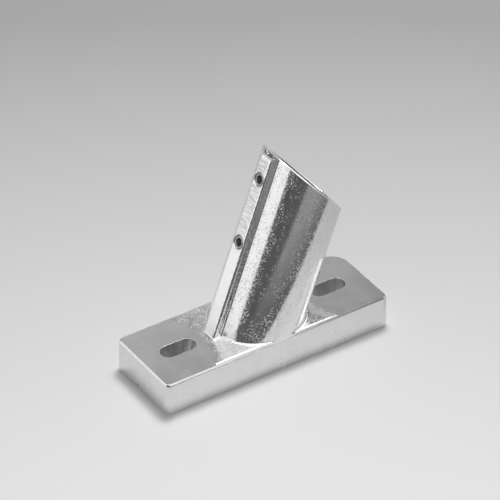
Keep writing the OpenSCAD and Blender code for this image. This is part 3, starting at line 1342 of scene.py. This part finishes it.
@dataclass
class Studio:
    """Pale floor, soft light, the camera, and sheets that only the metal's reflections see."""

    azimuth: float = math.radians(-33.6)
    elevation: float = math.radians(36.8)
    distance: float = 3.0
    shift_right: float = -2.36 * MM
    shift_up: float = 65.6 * MM
    lens: float = 316.5
    sensor: float = 36.0
    clip: Pair = (0.1, 20.0)
    floor_half: float = 2.5
    floor_drop: float = -0.05 * MM
    # The floor's colour over its reach away from the camera: painted shade, darker further away, standing
    # in for the light's fall-off.
    floor_reach: Pair = (-0.16, 0.40)
    floor_shade_tones: Pair = (0.89, 0.41)
    room_reach: Pair = (-0.6, 0.6)
    room_tones: Pair = (0.37, 1.2)
    fill_light: float = 0.4
    sheet_lift: float = 0.5 * MM
    lamp_place: Triple = (0.28, 0.26, 1.3)
    lamp_aim: Triple = (0.0, 0.0, 0.06)
    lamp_side: float = 0.42
    lamp_power: float = 12.2

    def camera(self) -> None:
        """Makes the camera at the photograph's viewing angle."""
        a, e = self.azimuth, self.elevation
        back = Vector((math.sin(a) * math.cos(e), -math.cos(a) * math.cos(e), math.sin(e)))
        right = Vector((math.cos(a), math.sin(a), 0.0))
        up = back.cross(right)
        data = bpy.data.cameras.new("camera")
        data.sensor_width, data.lens = self.sensor, self.lens
        data.clip_start, data.clip_end = self.clip
        made = put_in_scene("camera", data)
        place = right * self.shift_right + up * self.shift_up + back * self.distance
        made.matrix_world = Matrix.Translation(place) @ Matrix((right, up, back)).transposed().to_4x4()
        bpy.context.scene.camera = made

    def floor(self) -> None:
        """Lays the pale floor just under the plate; its colour is a painted shade that makes it paler
        towards the camera and darker away from it.
        """
        shader, half = Shader(bpy.data.materials.new("studio_paper")), self.floor_half
        away = shader.along((-math.sin(self.azimuth), math.cos(self.azimuth), 0.0))
        # Painted shade: the floor's colour darkens away from the camera in place of the light's fall-off.
        tone = shader.remap(away, *self.floor_reach, *self.floor_shade_tones)
        corners = level(self.floor_drop, (-half, -half), (half, -half), (half, half), (-half, half))
        sheet("studio_floor", corners, shader.finish("BsdfDiffuse", {"Color": shader.grey(tone, tone)}))

    def reflector(self, name: str, tone: float | Ramp, corners: list[Triple]) -> None:
        """Adds a sheet that only reflections see.

        Args:
            name: the sheet's name.
            tone: its brightness, which is even or graded.
            corners: its corners in order.
        """
        shader = Shader(bpy.data.materials.new(name))
        strength = tone.tone(shader) if isinstance(tone, Ramp) else tone
        glow = shader.finish("Emission", {"Color": (1, 1, 1, 1), "Strength": strength})
        made = sheet(name, corners, glow)
        made.visible_camera = made.visible_diffuse = made.visible_shadow = False

    def reflectors(self) -> None:
        """Stands the bright, grey and dark sheets round the object."""
        lift = self.sheet_lift
        front = Ramp((0, -1, 0), 0.14, 0.36, 0.10, 0.33)
        right = Ramp((1, 0, 0), 0.05, 0.16, 0.69, 0.52)
        back = Ramp((0.1, 0, 1), 0.36, 0.46, 0.64, 0.12)
        for name, tone, corners in [
            ("bright_sheet_left", 1.0, level(
                lift, (-0.75, -0.15), (-0.16, -0.05), (-0.16, 0.6), (-0.75, 0.6))),
            ("bright_wall_left", 1.05, upright(0, 0.8, (-0.76, -0.19), (-0.76, 1.0))),
            ("bright_wall_right", 1.8, upright(0.4, 1.2, (0.9, -0.5), (0.9, 0.35))),
            ("dark_sheet_left", 0.10, level(
                lift, (-2.5, -2.4), (-0.24, -2.4), (-0.24, -0.066), (-0.75, -0.152), (-2.5, -0.2))),
            ("dark_sheet_front", front, level(
                lift, (-0.24, -2.4), (0.7, -2.4), (0.7, -0.42), (0.0, -0.125), (-0.05, -0.085),
                (-0.12, -0.068), (-0.24, -0.066))),
            ("grey_sheet_right", right, level(
                lift, (0.0, -0.066), (0.105, -0.066), (0.105, 0.3), (0.7, 0.3), (0.7, -0.42),
                (0.0, -0.125))),
            ("dark_wall_left", 0.09, upright(0, 0.9, (-1.1, -0.26), (-0.45, -1.2))),
            ("dark_card_right", 0.14, [
                (0.155, -0.35, 0.03), (0.4, -0.35, 0.03), (0.4, -0.35, 0.42), (0.245, -0.35, 0.42)]),
            ("dark_wall_front", 0.09, upright(0, 0.4, (-0.45, -1.2), (0.1, -1.4))),
            ("grey_wall_back", back, upright(0.1, 0.75, (-0.1, 0.4), (0.9, 0.4))),
        ]:
            self.reflector(name, tone, corners)

    def lamp(self) -> None:
        """Hangs the soft light, in which only the plate throws a shadow."""
        data = bpy.data.lights.new("softbox_top", "AREA")
        data.shape = "RECTANGLE"
        data.size = data.size_y = self.lamp_side
        data.energy = self.lamp_power
        made = put_in_scene("softbox_top", data)
        made.visible_camera = False
        made.location = self.lamp_place
        made.rotation_mode = "QUATERNION"
        way = Vector(self.lamp_aim) - Vector(self.lamp_place)
        made.rotation_quaternion = way.to_track_quat("-Z", "Y")
        blockers = bpy.data.collections.new("softbox_top_blockers")
        blockers.objects.link(bpy.data.objects["plate_skin"])
        made.light_linking.blocker_collection = blockers

    def world(self) -> None:
        """Fills the room with soft light, paler behind the camera than behind the object."""
        world = bpy.data.worlds.new("studio_room")
        bpy.context.scene.world = world
        shader = Shader(world, "OutputWorld")
        toward = shader.along((math.sin(self.azimuth), -math.cos(self.azimuth), 0.0), "Generated")
        tone = shader.remap(toward, *self.room_reach, *self.room_tones)
        seen = shader.add("LightPath").outputs["Is Glossy Ray"]
        strength = shader.remap(seen, 0.0, 1.0, self.fill_light)
        shader.finish("Background", {"Color": tone, "Strength": strength})

    def build(self) -> None:
        """Sets up everything around the object."""
        self.camera()
        self.floor()
        self.world()
        self.reflectors()
        self.lamp()


def main() -> None:
    """Builds the pieces in order, dresses them and sets up the studio."""
    logging.basicConfig(level=logging.INFO, format="%(name)s: %(message)s")
    bpy.context.scene.view_settings.view_transform = "Standard"
    for skin in Casting(PLATE, SOCKET).build():
        LOG.info("%s: %d faces", skin.name, len(skin.data.polygons))
    steel = ScrewSteel().material("screw_steel")
    for node, reach in zip(("set_screw_lower", "set_screw_upper"), SOCKET.screw_reaches):
        LOG.info("%s", SetScrew(SOCKET, node, reach).build(steel).name)
    Studio().build()


if __name__ == "__main__":
    main()
